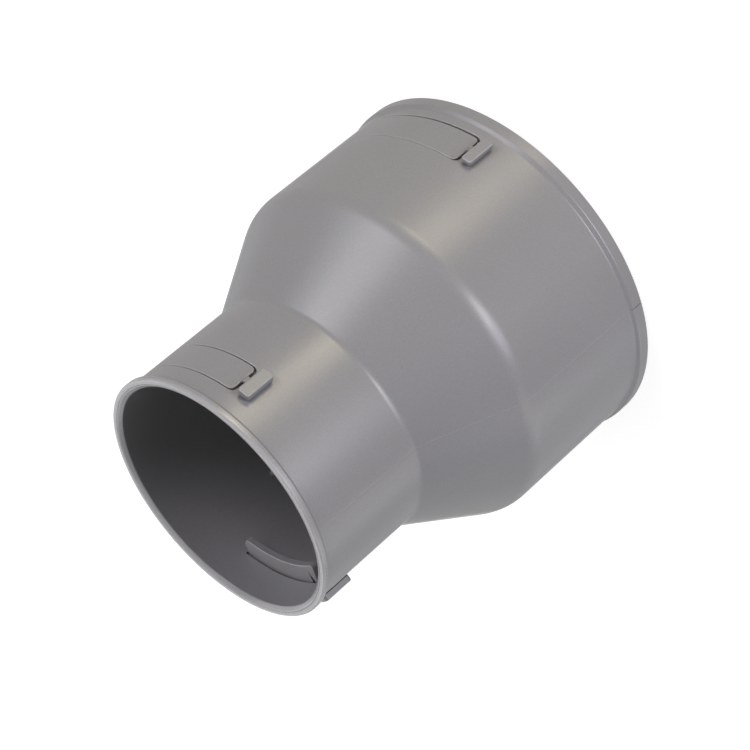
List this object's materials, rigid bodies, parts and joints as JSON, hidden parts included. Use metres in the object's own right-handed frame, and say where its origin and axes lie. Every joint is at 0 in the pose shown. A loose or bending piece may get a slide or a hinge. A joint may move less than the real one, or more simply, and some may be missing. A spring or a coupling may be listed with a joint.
{
  "type": "pipe reducer",
  "caption": "One-piece moulded duct reducer: a large socket, a cone and a small socket on one axis, with hinged latch panels whose catch plates hold the ducts.",
  "frame": {"origin": "centre of the big end, in the plane of its rim, on the axis of both sockets", "axes": "+Z along the axis from the big end to the small end, +X through the parting seam beside the lift tabs, +Y through the middle of one pair of latches"},
  "size_m": [0.1702, 0.1702, 0.1785],
  "materials": {
    "grey_plastic": "satin"
  },
  "bodies": {
    "root": {"reducer_body": "grey_plastic"}
  },
  "joints": []
}
